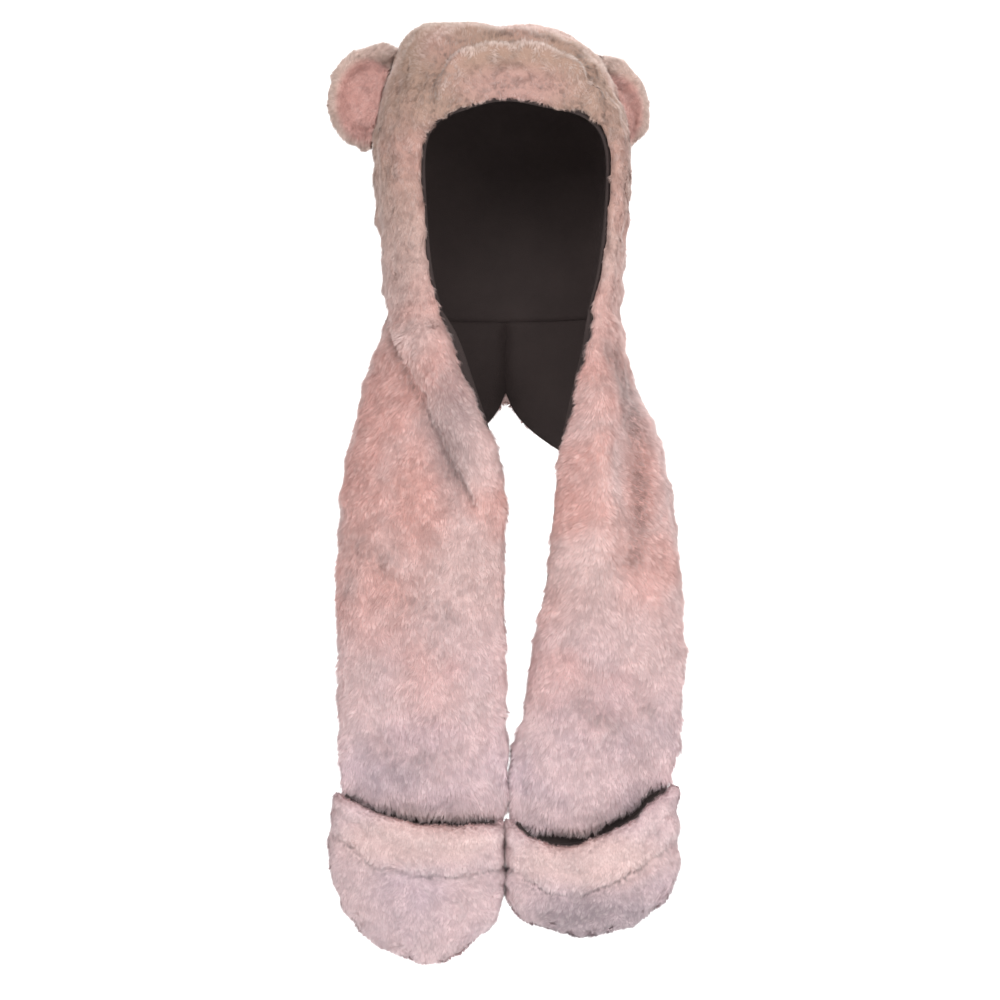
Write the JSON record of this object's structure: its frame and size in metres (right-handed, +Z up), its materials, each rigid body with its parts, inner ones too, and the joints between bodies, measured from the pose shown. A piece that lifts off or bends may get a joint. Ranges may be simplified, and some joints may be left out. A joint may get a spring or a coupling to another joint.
{
  "type": "hood scarf with hand pockets",
  "caption": "Plush fur hood with rounded animal ears, running down into scarf tails that each end in a paw-shaped hand pocket.",
  "frame": {"origin": "seat inside the crown of the hood, where the top of a head touches the lining", "axes": "+Z up, -Y out of the face opening, -X towards the wearer's right hand"},
  "size_m": [0.3039, 0.2318, 0.7914],
  "materials": {
    "fur": "deep matte pile",
    "lining": "smooth matte"
  },
  "bodies": {
    "root": {"hood_fur": "fur", "tail_fur_left": "fur", "tail_fur_right": "fur", "pocket_fur_left": "fur", "pocket_fur_right": "fur", "ear_left": "fur", "ear_right": "fur", "hood_lining": "lining", "tail_lining_left": "lining", "tail_lining_right": "lining", "pocket_bag_left": "lining", "pocket_bag_right": "lining"}
  },
  "joints": []
}
